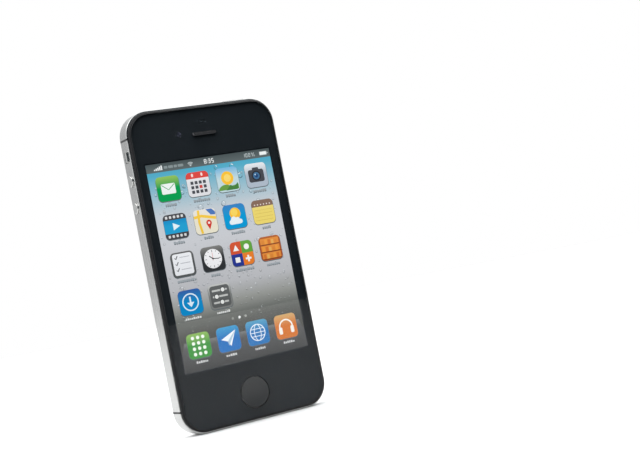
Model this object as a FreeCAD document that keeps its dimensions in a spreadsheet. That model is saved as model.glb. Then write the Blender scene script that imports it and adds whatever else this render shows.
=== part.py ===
import FreeCAD, Part
import Sketcher
import math
import os

# Touch-screen pocket handheld: a glass-fronted slab standing on its bottom edge.
# Frame: origin under the middle of the bottom edge, +Z up towards the earpiece, +X to the right
# of the person looking at the screen, -Y out of the screen. Millimetres.

DIMENSIONS = {
    # outside
    "case_width": 58.6,
    "case_height": 115.2,
    "case_depth": 9.3,
    "corner_radius": 8.9,
    "band_depth": 6.3,
    "band_wall": 1.2,
    "band_chamfer": 0.15,
    "gap_height": 0.7,
    "gap_from_end": 9.2,
    # front and back glass with their plastic rims
    "glass_inset": 1.2,
    "glass_thick": 0.95,
    "glass_edge": 0.18,
    "rim_inset": 0.55,
    "rim_proud": 1.2,
    "rim_chamfer": 0.45,
    "rim_play": 0.05,
    "rim_plug": 0.75,
    "rim_ledge": 1.3,
    "film_thick": 0.05,
    # display
    "screen_width": 49.3,
    "screen_height": 74.0,
    "screen_middle": 59.0,
    "screen_border": 0.5,
    "touch_thick": 0.25,
    "panel_width": 51.0,
    "panel_bottom": 17.6,
    "panel_top": 97.0,
    "panel_thick": 1.65,
    # middle plate
    "plate_front": -1.45,
    "plate_thick": 0.4,
    "stand_off_radius": 1.2,
    "screw_radius": 0.5,
    "screw_head_radius": 1.1,
    # ear piece, cameras and sensor at the top
    "ear_height": 104.6,
    "ear_slot_length": 9.5,
    "ear_slot_width": 1.2,
    "ear_speaker_length": 12.0,
    "ear_speaker_width": 6.0,
    "mesh_hole": 0.17,
    "selfie_side": -9.9,
    "selfie_height": 105.2,
    "selfie_window": 1.05,
    "selfie_block": 5.6,
    "selfie_neck": 1.9,
    "sensor_length": 3.2,
    "sensor_width": 1.2,
    "sensor_height": 109.0,
    "camera_side": 18.9,
    "camera_height": 104.9,
    "camera_window": 3.1,
    "camera_trim": 0.55,
    "camera_block": 9.0,
    "barrel_radius": 2.8,
    "lens_radius": 1.7,
    "flash_side": 11.2,
    "flash_radius": 1.5,
    "led_size": 2.4,
    # home button
    "home_height": 10.3,
    "home_radius": 5.5,
    "home_dish": 0.35,
    "home_flange": 6.2,
    "home_travel": 0.4,
    "plunger_radius": 1.6,
    "plunger_length": 0.8,
    "play": 0.1,
    # buttons on the left edge and the top edge
    "volume_radius": 1.95,
    "volume_flange": 2.3,
    "volume_up_height": 91.5,
    "volume_down_height": 81.9,
    "button_proud": 0.5,
    "button_travel": 0.35,
    "button_edge": 0.15,
    "dome_radius": 1.1,
    "dome_height": 0.3,
    "mute_height": 100.1,
    "mute_length": 4.0,
    "mute_width": 1.4,
    "mute_travel": 1.5,
    "power_side": 15.4,
    "power_length": 9.6,
    "power_width": 2.2,
    # sockets
    "jack_side": -18.0,
    "jack_bore": 1.75,
    "jack_depth": 14.5,
    "jack_collar": 2.45,
    "dock_width": 21.4,
    "dock_gap": 2.4,
    "dock_depth": 7.4,
    "contact_count": 30,
    "contact_pitch": 0.6,
    "contact_width": 0.3,
    "contact_thick": 0.18,
    "port_length": 6.6,
    "port_width": 1.9,
    "port_side": 19.0,
    "screw_side": 14.2,
    "thread_radius": 0.7,
    # card tray
    "tray_height": 62.0,
    "tray_middle": 0.1,
    "card_length": 15.0,
    "card_width": 12.0,
    "card_thick": 0.76,
    "card_left": 12.2,
    "card_corner": 2.5,
    "card_play": 0.05,
    "door_width": 2.3,
    "tray_inner": 11.4,
    "tray_half": 6.7,
    "tray_thick": 1.1,
    "push_above_tray": 8.55,
    "pivot_above_tray": 4.4,
    "lever_side": 8.9,
    "lever_width": 0.9,
    "lever_boss": 1.1,
    "pin_hole": 0.45,
    # battery and board
    "battery_left": -25.2,
    "battery_right": 5.8,
    "battery_bottom": 19.5,
    "battery_top": 98.5,
    "battery_thick": 3.9,
    "board_left": 6.4,
    "board_right": 27.4,
    "board_front": 1.2,
    "board_thick": 0.8,
    "shield_height": 1.3,
    "shield_wall": 0.15,
    # vibration motor
    "motor_height": 108.0,
    "motor_radius": 2.2,
    "shaft_radius": 0.4,
    "shaft_play": 0.05,
    "motor_left": -8.5,
    "motor_length": 9.5,
    "weight_length": 4.0,
}

doc = FreeCAD.newDocument("handheld")
sheet = doc.addObject("Spreadsheet::Sheet", "Dims")
for row, (alias, number) in enumerate(DIMENSIONS.items(), start=1):
    sheet.set("A%d" % row, str(number))
    sheet.setAlias("A%d" % row, alias)
doc.recompute()


class Size:
    """A length that carries both its number and the sheet formula it comes from."""

    def __init__(self, value, formula):
        self.value = value
        self.formula = formula

    @staticmethod
    def of(item):
        return item if isinstance(item, Size) else Size(float(item), "%.6g" % item)

    def joined(self, sign, other, value):
        return Size(value, "(%s %s %s)" % (self.formula, sign, other.formula))

    def __add__(self, other):
        other = Size.of(other)
        return self.joined("+", other, self.value + other.value)

    def __sub__(self, other):
        other = Size.of(other)
        return self.joined("-", other, self.value - other.value)

    def __mul__(self, other):
        other = Size.of(other)
        return self.joined("*", other, self.value * other.value)

    def __truediv__(self, other):
        other = Size.of(other)
        return self.joined("/", other, self.value / other.value)

    def __radd__(self, other):
        return Size.of(other) + self

    def __rsub__(self, other):
        return Size.of(other) - self

    def __rmul__(self, other):
        return Size.of(other) * self

    def __neg__(self):
        return 0 - self


class Sheet:
    """Reads a named cell as a Size."""

    def __getattr__(self, alias):
        return Size(float(getattr(sheet, alias)), "Dims." + alias)


D = Sheet()
NODES = []


# ---------------------------------------------------------------- helpers

def bind(item, prop, size):
    """Tie a property of a document object to the sheet."""
    item.setExpression(prop, Size.of(size).formula)


def place(item, x=0, y=0, z=0):
    for axis, size in zip("xyz", (x, y, z)):
        bind(item, "Placement.Base." + axis, size)


def turn(item, axis, angle):
    """Set the rotation of an object whose place is bound by place()."""
    item.Placement.Rotation = FreeCAD.Rotation(FreeCAD.Vector(*axis), angle)


def keep(item, label):
    """Register an object as one exported sub-part."""
    item.Label = label
    NODES.append(item)
    return item


def new_body(label, x=0, y=0, z=0):
    body = doc.addObject("PartDesign::Body", label)
    place(body, x, y, z)
    return keep(body, label)


def sketch_on(body, role, offset=0):
    """Sketch on one of the body's own origin planes, moved along the plane's normal."""
    plane = next(item for item in body.Origin.OriginFeatures if item.Role == role)
    sketch = body.newObject("Sketcher::SketchObject", body.Name + "_sketch")
    sketch.AttachmentSupport = (plane, [""])
    sketch.MapMode = "FlatFace"
    bind(sketch, "AttachmentOffset.Base.z", offset)
    return sketch


def dimension(sketch, kind, where, size):
    size = Size.of(size)
    index = sketch.addConstraint(Sketcher.Constraint(kind, *where, size.value))
    bind(sketch, "Constraints[%d]" % index, size)


def pin(sketch, geo, point, x, y):
    """Fix a sketch point at (x, y) from the sketch origin."""
    for kind, size, axis in (("DistanceX", Size.of(x), -2), ("DistanceY", Size.of(y), -1)):
        if abs(size.value) < 1e-9:
            sketch.addConstraint(Sketcher.Constraint("PointOnObject", geo, point, axis))
        else:
            dimension(sketch, kind, (-1, 1, geo, point), size)


def vector(x, y):
    return FreeCAD.Vector(Size.of(x).value, Size.of(y).value, 0)


def outline(points):
    """Closed outline of straight edges through the points."""
    def draw(sketch):
        count = len(points)
        first = sketch.GeometryCount
        for index in range(count):
            start = vector(*points[index])
            end = vector(*points[(index + 1) % count])
            sketch.addGeometry(Part.LineSegment(start, end), False)
        for index in range(count):
            after = first + (index + 1) % count
            sketch.addConstraint(Sketcher.Constraint("Coincident", first + index, 2, after, 1))
            pin(sketch, first + index, 1, *points[index])
    return draw


def rectangle(x0, x1, y0, y1):
    return outline([(x0, y0), (x1, y0), (x1, y1), (x0, y1)])


def disc(radius, x=0, y=0):
    def draw(sketch):
        geo = sketch.addGeometry(Part.Circle(vector(x, y), FreeCAD.Vector(0, 0, 1),
                                             Size.of(radius).value), False)
        dimension(sketch, "Radius", (geo,), radius)
        pin(sketch, geo, 3, x, y)
    return draw


def rounded(wide, tall, radius, x=0, y=0):
    """Rectangle with four equal round corners, centred on (x, y)."""
    wide, tall, radius, x, y = map(Size.of, (wide, tall, radius, x, y))
    left, right = x - wide / 2, x + wide / 2
    low, high = y - tall / 2, y + tall / 2

    def draw(sketch):
        first = sketch.GeometryCount
        centres = [(right - radius, low + radius), (right - radius, high - radius),
                   (left + radius, high - radius), (left + radius, low + radius)]
        lines = [((left + radius, low), (right - radius, low)),
                 ((right, low + radius), (right, high - radius)),
                 ((right - radius, high), (left + radius, high)),
                 ((left, high - radius), (left, low + radius))]
        for start, end in lines:
            sketch.addGeometry(Part.LineSegment(vector(*start), vector(*end)), False)
        for corner, centre in enumerate(centres):
            circle = Part.Circle(vector(*centre), FreeCAD.Vector(0, 0, 1), radius.value)
            begin = math.pi / 2 * (corner - 1)
            sketch.addGeometry(Part.ArcOfCircle(circle, begin, begin + math.pi / 2), False)
        for corner in range(4):
            line, arc = first + corner, first + 4 + corner
            after = first + (corner + 1) % 4
            level = "Vertical" if corner % 2 else "Horizontal"
            sketch.addConstraint([Sketcher.Constraint("Tangent", line, 2, arc, 1),
                                  Sketcher.Constraint("Tangent", arc, 2, after, 1),
                                  Sketcher.Constraint(level, line)])
        for arc in range(first + 4, first + 7):
            sketch.addConstraint(Sketcher.Constraint("Equal", arc, arc + 1))
        dimension(sketch, "Radius", (first + 4,), radius)
        pin(sketch, first + 4, 3, *centres[0])
        pin(sketch, first + 6, 3, *centres[2])
    return draw


def pad(body, role, offset, length, *loops, reverse=False):
    """Pad the loops from a moved origin plane; reverse pads against the plane's normal."""
    sketch = sketch_on(body, role, offset)
    for loop in loops:
        loop(sketch)
    feature = body.newObject("PartDesign::Pad", body.Name + "_pad")
    feature.Profile = sketch
    feature.Reversed = reverse
    bind(feature, "Length", length)
    return feature


def pocket(body, role, offset, length, *loops, reverse=False):
    """Cut the loops against the plane's normal; reverse cuts along it."""
    sketch = sketch_on(body, role, offset)
    for loop in loops:
        loop(sketch)
    feature = body.newObject("PartDesign::Pocket", body.Name + "_pocket")
    feature.Profile = sketch
    feature.Reversed = reverse
    bind(feature, "Length", length)
    return feature


def slab(label, front, thick, *loops):
    """Flat piece lying in the XZ plane, from y = front backwards."""
    body = new_body(label, y=front)
    pad(body, "XZ_Plane", 0, thick, *loops, reverse=True)
    return body


def edges_where(shape, test):
    """Names of the edges whose bounding box passes the test."""
    return ["Edge%d" % number for number, edge in enumerate(shape.Edges, start=1)
            if test(edge.BoundBox)]


def dress(body, kind, size_name, size, test):
    """Fillet or chamfer the edges of the body's tip that pass the test."""
    doc.recompute()
    base = body.Tip
    feature = body.newObject("PartDesign::" + kind, body.Name + "_" + kind.lower())
    feature.Base = (base, edges_where(base.Shape, test))
    bind(feature, size_name, size)
    return feature


def box(label, x0, x1, y0, y1, z0, z1):
    item = doc.addObject("Part::Box", label)
    for prop, low, high in (("Length", x0, x1), ("Width", y0, y1), ("Height", z0, z1)):
        bind(item, prop, Size.of(high) - Size.of(low))
    place(item, x0, y0, z0)
    return item


AXES = {"X": ((0, 1, 0), 90), "Y": ((1, 0, 0), -90), "Z": ((0, 0, 1), 0)}


def rod(label, along, radius, length, x, y, z):
    """Cylinder along an axis, starting at (x, y, z)."""
    item = doc.addObject("Part::Cylinder", label)
    bind(item, "Radius", radius)
    bind(item, "Height", length)
    turn(item, *AXES[along])
    place(item, x, y, z)
    return item


def fused(label, pieces):
    item = doc.addObject("Part::MultiFuse", label)
    item.Shapes = pieces
    return item


def cut(label, base, tool):
    item = doc.addObject("Part::Cut", label)
    item.Base = base
    item.Tool = tool
    return item


def group(label, pieces):
    """Several equal solids that share one node."""
    item = doc.addObject("Part::Compound", label)
    item.Links = pieces
    return keep(item, label)


# ---------------------------------------------------------------- shared levels

half_width = D.case_width / 2
half_depth = D.case_depth / 2
half_band = D.band_depth / 2
middle = D.case_height / 2
inner_side = half_width - D.band_wall
inner_top = D.case_height - D.band_wall
gap_low = D.gap_from_end
gap_high = D.case_height - D.gap_from_end
film_front = D.glass_thick - half_depth
touch_front = film_front + D.film_thick
panel_front = touch_front + D.touch_thick
plate_back = D.plate_front + D.plate_thick
board_back = D.board_front + D.board_thick
# A slot's end radius stays this much under half its width, so the straight edges keep a length.
nearly = 0.01
battery_front = plate_back + D.play
flex_thick = 0.15


def case_outline(inset):
    """The case's own rounded outline, moved inwards by inset."""
    return rounded(D.case_width - 2 * inset, D.case_height - 2 * inset,
                   D.corner_radius - inset, 0, middle)


# ---------------------------------------------------------------- steel band

def band_segment(label, removed):
    """One piece of the outer band: the full ring less the rectangles in removed."""
    body = new_body(label, y=-half_band)
    pad(body, "XZ_Plane", 0, D.band_depth, case_outline(0),
        case_outline(D.band_wall), reverse=True)
    reach = inner_side.value + 0.3

    def outer_edge(bounds):
        flat = bounds.YLength < 0.01
        wide = max(abs(bounds.XMin), abs(bounds.XMax)) > reach
        tall = bounds.ZMin < 1.0 or bounds.ZMax > D.case_height.value - 1.0
        return flat and (wide or tall)

    dress(body, "Chamfer", "Size", D.band_chamfer, outer_edge)
    for loop in removed:
        pocket(body, "XZ_Plane", 0, D.band_depth, loop)
    return body


half_gap = D.gap_height / 2
beyond = 1
wide = half_width + beyond
above = rectangle(-wide, wide, gap_high - half_gap, D.case_height + beyond)
below = rectangle(-wide, wide, -beyond, gap_low + half_gap)
band_top = band_segment("band_top", [rectangle(-wide, wide, -beyond, gap_high + half_gap)])
band_bottom = band_segment("band_bottom",
                           [rectangle(-wide, wide, gap_low - half_gap, D.case_height + beyond)])
band_left = band_segment("band_left", [above, below,
                                       rectangle(0, wide, 0, D.case_height)])
band_right = band_segment("band_right", [above, below,
                                         rectangle(-wide, 0, 0, D.case_height)])

# In the side bodies the YZ plane's sketch axes are Y and Z; each body starts at y = -half_band.
through_wall = D.band_wall + 2 * beyond
for height in (D.volume_up_height, D.volume_down_height):
    pocket(band_left, "YZ_Plane", -wide, through_wall,
           disc(D.volume_radius + D.play, half_band, height), reverse=True)
slot_wide = D.mute_width + D.mute_travel + 2 * D.play
pocket(band_left, "YZ_Plane", -wide, through_wall,
       rounded(slot_wide, D.mute_length + 2 * D.play, 0.5, half_band, D.mute_height),
       reverse=True)

door_low = D.tray_height - 7.3
door_high = D.tray_height + 9.8
door_middle = (door_low + door_high) / 2


def door_outline(play, y):
    wide_play = D.door_width + 2 * play
    return rounded(wide_play, door_high - door_low + 2 * play, wide_play / 2 - nearly, y, door_middle)


pocket(band_right, "YZ_Plane", wide, through_wall,
       door_outline(D.play, half_band + D.tray_middle))

# Top edge: power button slot and headphone hole. Bottom edge: dock slot, two sound ports and
# two screw holes. The XY plane's sketch axes are X and Y.
pocket(band_top, "XY_Plane", D.case_height + beyond, through_wall,
       rounded(D.power_length + 2 * D.play, D.power_width + 2 * D.play,
               D.power_width / 2 + D.play - nearly, D.power_side, half_band),
       disc(D.jack_collar + D.rim_play, D.jack_side, half_band))
screw_opening = 1.0
nose_wide = D.dock_width + 1.6
nose_deep = D.dock_gap + 0.8
bottom_cuts = [rounded(nose_wide + 2 * D.rim_play, nose_deep + 2 * D.rim_play, 0.5,
                       0, half_band)]
for side in (-1, 1):
    bottom_cuts.append(rounded(D.port_length, D.port_width, D.port_width / 2 - nearly,
                               side * D.port_side, half_band))
    bottom_cuts.append(disc(screw_opening, side * D.screw_side, half_band))
pocket(band_bottom, "XY_Plane", -beyond, through_wall, *bottom_cuts, reverse=True)

inserts = []
for name, side in (("left", -1), ("right", 1)):
    for level in (gap_low, gap_high):
        inner, outer = side * inner_side, side * half_width
        low_x, high_x = (outer, inner) if side < 0 else (inner, outer)
        inserts.append(box("gap_insert_" + name, low_x, high_x, D.band_chamfer - half_band,
                           half_band - D.band_chamfer, level - half_gap, level + half_gap))
group("antenna_gap_inserts", inserts)

# ---------------------------------------------------------------- middle plate

stand_offs = [(8.0, 31.0), (25.4, 22.0), (25.4, 46.0), (8.0, 96.5), (25.4, 96.5)]
plate = slab("mid_plate", D.plate_front, D.plate_thick, case_outline(D.band_wall + D.rim_play))
pad(plate, "XZ_Plane", -D.plate_thick, D.board_front - plate_back,
    *[disc(D.stand_off_radius, x, z) for x, z in stand_offs], reverse=True)
# Notches clear the left buttons, the headphone jack, the power switch, the dock socket and the
# display cable.
left_notch = rectangle(-half_width, -25.5, 78.0, 104.0)
jack_notch = rectangle(D.jack_side - 4, D.jack_side + 4, 99.2, D.case_height)
power_notch = rectangle(D.power_side - 6.2, D.power_side + 6.2, 110.8, D.case_height)
dock_notch = rectangle(-16.0, 16.0, 0, 9.6)
cable_notch = rectangle(9.5, 18.5, 97.4, 98.9)
pocket(plate, "XZ_Plane", 0, D.plate_thick, left_notch, jack_notch, power_notch, dock_notch,
       cable_notch)
pocket(plate, "XZ_Plane", -(D.board_front - D.plate_front), D.board_front - D.plate_front,
       *[disc(D.screw_radius, x, z) for x, z in stand_offs], reverse=True)

# ---------------------------------------------------------------- glass and rims


def far_edge(level):
    """Edges that lie wholly at one depth and reach the outline of the glass."""
    reach = half_width.value - D.glass_inset.value - 0.1

    def test(bounds):
        flat = bounds.YLength < 1e-4 and abs(bounds.YMin - level) < 1e-4
        wide_enough = max(abs(bounds.XMin), abs(bounds.XMax)) > reach
        tall = bounds.ZMin < 2.0 or bounds.ZMax > D.case_height.value - 2.0
        return flat and (wide_enough or tall)
    return test


screen_window = rounded(D.screen_width + 2 * D.screen_border, D.screen_height + 2 * D.screen_border,
                        0.4, 0, D.screen_middle)


def ear_slot(play):
    tall = D.ear_slot_width + 2 * play
    return rounded(D.ear_slot_length + 2 * play, tall, tall / 2 - nearly, 0,
                   D.ear_height)


home_hole = disc(D.home_radius + D.play, 0, D.home_height)
front_glass = slab("front_glass", -half_depth, D.glass_thick, case_outline(D.glass_inset),
                   home_hole, ear_slot(0))
dress(front_glass, "Fillet", "Radius", D.glass_edge, far_edge(0))

slab("border_film", film_front, D.film_thick, case_outline(D.glass_inset + 0.2), home_hole,
     ear_slot(0), screen_window, disc(D.selfie_window, D.selfie_side, D.selfie_height),
     rounded(D.sensor_length, D.sensor_width, 0.5, 0, D.sensor_height))

back_glass = slab("back_glass", half_depth - D.glass_thick, D.glass_thick,
                  case_outline(D.glass_inset),
                  disc(D.camera_window + D.camera_trim, D.camera_side, D.camera_height),
                  disc(D.flash_radius, D.flash_side, D.camera_height))
dress(back_glass, "Fillet", "Radius", D.glass_edge, far_edge(D.glass_thick.value))

seat_depth = D.rim_proud + half_band + touch_front
ledge_outline = case_outline(D.glass_inset + D.rim_ledge)


def rim(label, behind):
    """Plastic ring that carries a glass: a lip round it, a ledge under it, a plug in the band.

    The ring starts at the band's edge and grows outwards, to -Y in front and to +Y behind."""
    side = 1 if behind else -1
    body = new_body(label, y=side * half_band)
    pad(body, "XZ_Plane", 0, D.rim_proud, case_outline(D.rim_inset), reverse=behind)
    outer_level = side * D.rim_proud.value
    dress(body, "Chamfer", "Size", D.rim_chamfer,
          lambda bounds: bounds.YLength < 1e-4 and abs(bounds.YMin - outer_level) < 1e-4)
    pad(body, "XZ_Plane", 0, D.rim_plug, case_outline(D.band_wall + D.rim_play),
        reverse=not behind)
    pocket(body, "XZ_Plane", -side * D.rim_proud, seat_depth,
           case_outline(D.glass_inset - D.rim_play), reverse=behind)
    pocket(body, "XZ_Plane", -side * D.rim_proud, D.rim_proud + D.rim_plug, ledge_outline,
           reverse=behind)
    return body


rim("front_rim", False)
back_rim = rim("back_rim", True)
boss_low = 1.6
boss_high = 4.6
boss_half = 1.5
boss_past_middle = 1.2
bosses = [rectangle(side * D.screw_side - boss_half, side * D.screw_side + boss_half,
                    boss_low, boss_high) for side in (-1, 1)]
pad(back_rim, "XZ_Plane", 0, half_band + boss_past_middle, *bosses)
pocket(back_rim, "XY_Plane", 0, D.corner_radius,
       *[disc(D.thread_radius, side * D.screw_side, -half_band) for side in (-1, 1)],
       reverse=True)

# Two case screws come up through the bottom edge into the bosses of the back cover.
case_screws = []
head_low, head_high, shank_high = 0.25, 1.05, 4.4
slot_half_length, slot_half_width, slot_floor = 0.6, 0.11, 0.5
for side in (-1, 1):
    x = side * D.screw_side
    head = rod("case_screw_head", "Z", 0.95, head_high - head_low, x, 0, head_low)
    shank = rod("case_screw_shank", "Z", D.thread_radius, shank_high - 1.0, x, 0, 1.0)
    drive = box("case_screw_drive", x - slot_half_length, x + slot_half_length,
                -slot_half_width, slot_half_width, 0.2, slot_floor)
    case_screws.append(cut("case_screw", fused("case_screw_solid", [head, shank]), drive))
group("case_screws", case_screws)

# ---------------------------------------------------------------- display

panel_middle = (D.panel_bottom + D.panel_top) / 2
panel_height = D.panel_top - D.panel_bottom
touch_margin = 0.6
slab("touch_sensor", touch_front, D.touch_thick,
     rounded(D.panel_width + touch_margin, panel_height + touch_margin, 0.8, 0, panel_middle))
slab("lcd_panel", panel_front, D.panel_thick,
     rounded(D.panel_width, panel_height, 0.6, 0, panel_middle))


def strip(label, x0, x1, points):
    """Bent ribbon: a closed profile in the YZ plane, padded from x0 to x1."""
    body = new_body(label)
    pad(body, "YZ_Plane", x0, x1 - x0, outline(points))


# The display's cable leaves the panel's top edge, crosses over and comes down on the board.
cable_front, cable_end, cable_over = -2.7, 91.0, 98.0
strip("display_flex", 10.0, 18.0, [
    (cable_front, D.panel_top), (cable_front + flex_thick, D.panel_top),
    (cable_front + flex_thick, cable_over), (D.board_front - flex_thick, cable_over),
    (D.board_front - flex_thick, cable_end), (D.board_front, cable_end),
    (D.board_front, cable_over + flex_thick), (cable_front, cable_over + flex_thick)])

# ---------------------------------------------------------------- ear piece, front camera, sensor

mesh_front = D.glass_edge - half_depth + 0.15
mesh_flange = 0.2
mesh = slab("earpiece_mesh", mesh_front, touch_front - mesh_front, ear_slot(-D.rim_play))
pad(mesh, "XZ_Plane", mesh_front - touch_front, mesh_flange, ear_slot(0.7), reverse=True)
mesh_rows, mesh_columns, row_pitch = 3, 14, 0.3
mesh_pitch = D.ear_slot_length / (mesh_columns + 2)
holes = [disc(D.mesh_hole, (column - (mesh_columns - 1) / 2 + (row % 2) / 2) * mesh_pitch,
              D.ear_height + (row - 1) * row_pitch)
         for row in range(mesh_rows) for column in range(mesh_columns)]
pocket(mesh, "XZ_Plane", 0, 1.5, *holes)

ear_front = touch_front + mesh_flange
ear_back = -1.6
slab("earpiece_speaker", ear_front, ear_back - ear_front,
     rounded(D.ear_speaker_length, D.ear_speaker_width, 1.5, 0, D.ear_height))

selfie_front = -3.1
selfie_back = -1.55
lens_seat = 0.3
selfie_lens_radius = D.selfie_window - 0.1
selfie = new_body("front_camera", y=selfie_front)
pad(selfie, "XZ_Plane", 0, selfie_back - selfie_front,
    rounded(D.selfie_block, D.selfie_block, 0.5, D.selfie_side, D.selfie_height), reverse=True)
pad(selfie, "XZ_Plane", 0, selfie_front - touch_front,
    disc(D.selfie_neck, D.selfie_side, D.selfie_height))
pocket(selfie, "XZ_Plane", selfie_front - touch_front, lens_seat,
       disc(selfie_lens_radius, D.selfie_side, D.selfie_height))
keep(rod("front_camera_lens", "Y", selfie_lens_radius, lens_seat, D.selfie_side, touch_front,
         D.selfie_height), "front_camera_lens")
sensor_margin = 0.2
keep(box("light_sensor", -D.sensor_length / 2 - sensor_margin, D.sensor_length / 2 + sensor_margin,
         touch_front, touch_front + 1.0,
         D.sensor_height - D.sensor_width / 2 - sensor_margin,
         D.sensor_height + D.sensor_width / 2 + sensor_margin), "light_sensor")

# ---------------------------------------------------------------- home button

home_front = 0.15 - half_depth
flange_front = touch_front + D.play
flange_back = flange_front + 0.35
button = new_body("home_button", z=D.home_height)
cap = sketch_on(button, "XY_Plane")
outline([(0, home_front), (D.home_radius, home_front), (D.home_radius, flange_front),
         (D.home_flange, flange_front), (D.home_flange, flange_back),
         (0, flange_back)])(cap)
turned = button.newObject("PartDesign::Revolution", "home_button_turned")
turned.Profile = cap
turned.ReferenceAxis = (cap, ["V_Axis"])
turned.Angle = 360
dress(button, "Fillet", "Radius", 0.12,
      lambda bounds: bounds.YLength < 1e-4 and abs(bounds.YMin - home_front.value) < 1e-4)
dish_half = D.home_radius - 0.5
dish_radius = (dish_half * dish_half + D.home_dish * D.home_dish) / (2 * D.home_dish)
dish = sketch_on(button, "XY_Plane")
centre = FreeCAD.Vector(0, home_front.value + D.home_dish.value - dish_radius.value, 0)
dish_circle = Part.Circle(centre, FreeCAD.Vector(0, 0, 1), dish_radius.value)
sweep = math.asin(dish_half.value / dish_radius.value)
dish.addGeometry(Part.ArcOfCircle(dish_circle, math.pi / 2 - sweep, math.pi / 2), False)
rim_point = vector(dish_half, home_front)
low_point = vector(0, home_front + D.home_dish)
mouth_point = vector(0, home_front)
dish.addGeometry(Part.LineSegment(low_point, mouth_point), False)
dish.addGeometry(Part.LineSegment(mouth_point, rim_point), False)
dish.addConstraint([Sketcher.Constraint("Coincident", 0, 2, 1, 1),
                    Sketcher.Constraint("Coincident", 1, 2, 2, 1),
                    Sketcher.Constraint("Coincident", 2, 2, 0, 1),
                    Sketcher.Constraint("PointOnObject", 0, 3, -2)])
pin(dish, 1, 1, 0, home_front + D.home_dish)
pin(dish, 1, 2, 0, home_front)
pin(dish, 2, 2, dish_half, home_front)
dished = button.newObject("PartDesign::Groove", "home_button_dish")
dished.Profile = dish
dished.ReferenceAxis = (dish, ["V_Axis"])
dished.Angle = 360

keep(rod("home_plunger", "Y", D.plunger_radius, D.plunger_length, 0, flange_back,
         D.home_height), "home_plunger")
dome_front = flange_back + D.plunger_length + D.home_travel + 0.05
dome_thick = 0.1
switch_half_wide, switch_half_tall = 7, 3.2
switch_plate = box("home_switch_plate", -switch_half_wide, switch_half_wide,
                   dome_front + dome_thick, D.plate_front - 0.05,
                   D.home_height - switch_half_tall, D.home_height + switch_half_tall)
switch_dome = rod("home_switch_dome", "Y", 2, dome_thick, 0, dome_front, D.home_height)
keep(fused("home_switch", [switch_plate, switch_dome]), "home_switch")

# ---------------------------------------------------------------- buttons on the left edge

flange_thick = 0.4
dome_gap = 0.15
flange_outer = -inner_side + D.play
flange_inner = flange_outer + flange_thick
dome_side = flange_inner + D.button_travel + dome_gap
for label, height in (("volume_up_button", D.volume_up_height),
                      ("volume_down_button", D.volume_down_height)):
    body = new_body(label, z=height)
    cap_length = flange_outer + half_width + D.button_proud
    pad(body, "YZ_Plane", -half_width - D.button_proud, cap_length, disc(D.volume_radius))
    pad(body, "YZ_Plane", flange_outer, flange_inner - flange_outer, disc(D.volume_flange))
    face = -half_width.value - D.button_proud.value
    dress(body, "Fillet", "Radius", D.button_edge,
          lambda bounds, face=face: bounds.XLength < 1e-4 and abs(bounds.XMin - face) < 1e-4)

bracket_side = dome_side + 1.0
bracket_half, block_half_deep, block_half_tall = 2.0, 1.6, 2.0
switch_pieces = [box("volume_bracket_plate", bracket_side, bracket_side + 0.35, -bracket_half,
                     bracket_half, D.volume_down_height - 3.3, D.mute_height + 3.3)]
for height in (D.volume_up_height, D.volume_down_height):
    switch_pieces.append(box("volume_switch_block", dome_side + D.dome_height, bracket_side,
                             -block_half_deep, block_half_deep, height - block_half_tall,
                             height + block_half_tall))
    switch_pieces.append(rod("volume_switch_dome", "X", D.dome_radius, D.dome_height, dome_side,
                             0, height))
keep(fused("volume_switches", switch_pieces), "volume_switches")

# The mute lever stands at the screen end of its slot and slides towards the back.
lever_front = -D.mute_travel / 2 - D.mute_width / 2
mute_body = new_body("mute_lever", y=lever_front, z=D.mute_height)
mute_middle = D.mute_width / 2
pad(mute_body, "YZ_Plane", -half_width - D.button_proud, flange_outer + half_width + D.button_proud,
    rounded(D.mute_width, D.mute_length, 0.4, mute_middle, 0))
mute_flange, stem_length, stem_half_deep, stem_half_tall = 0.3, 0.8, 0.3, 0.4
pad(mute_body, "YZ_Plane", flange_outer, mute_flange,
    rectangle(mute_middle - 1.4, mute_middle + 1.4, -2.5, 2.5))
pad(mute_body, "YZ_Plane", flange_outer + mute_flange, stem_length,
    rectangle(mute_middle - stem_half_deep, mute_middle + stem_half_deep,
              -stem_half_tall, stem_half_tall))
mute_box = box("mute_switch_box", flange_outer + 0.5, bracket_side, -1.8, 1.8,
               D.mute_height - 2.6, D.mute_height + 2.6)
slot_half_deep, slot_half_tall = 1.2, 0.6
mute_slot = box("mute_switch_slot", flange_outer + 0.3, bracket_side - 0.2, -slot_half_deep,
                slot_half_deep, D.mute_height - slot_half_tall, D.mute_height + slot_half_tall)
keep(cut("mute_switch", mute_box, mute_slot), "mute_switch")

# ---------------------------------------------------------------- power button on the top edge

power = new_body("power_button", x=D.power_side)
flange_top = inner_top - D.play
pad(power, "XY_Plane", flange_top, D.case_height - flange_top + D.button_proud,
    rounded(D.power_length, D.power_width, D.power_width / 2 - nearly))
pad(power, "XY_Plane", flange_top - flange_thick, flange_thick,
    rounded(D.power_length + 1.2, D.power_width + 0.8, 0.5))
power_face = D.case_height.value + D.button_proud.value
dress(power, "Fillet", "Radius", D.button_edge,
      lambda bounds: bounds.ZLength < 1e-4 and abs(bounds.ZMin - power_face) < 1e-4)
power_dome = flange_top - flange_thick - D.button_travel - dome_gap
block_top = power_dome - D.dome_height
block_low = power_dome - 1.2
power_half_deep = 1.4
keep(fused("power_switch", [
    rod("power_switch_dome", "Z", D.dome_radius, D.dome_height, D.power_side, 0, block_top),
    box("power_switch_block", D.power_side - 2.2, D.power_side + 2.2, -power_half_deep,
        power_half_deep, block_low, block_top),
    box("power_switch_bracket", D.power_side - 5.6, D.power_side + 5.6, -power_half_deep,
        power_half_deep, block_low - 0.3, block_low)]), "power_switch")

# ---------------------------------------------------------------- head-phone jack, vibration motor

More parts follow.
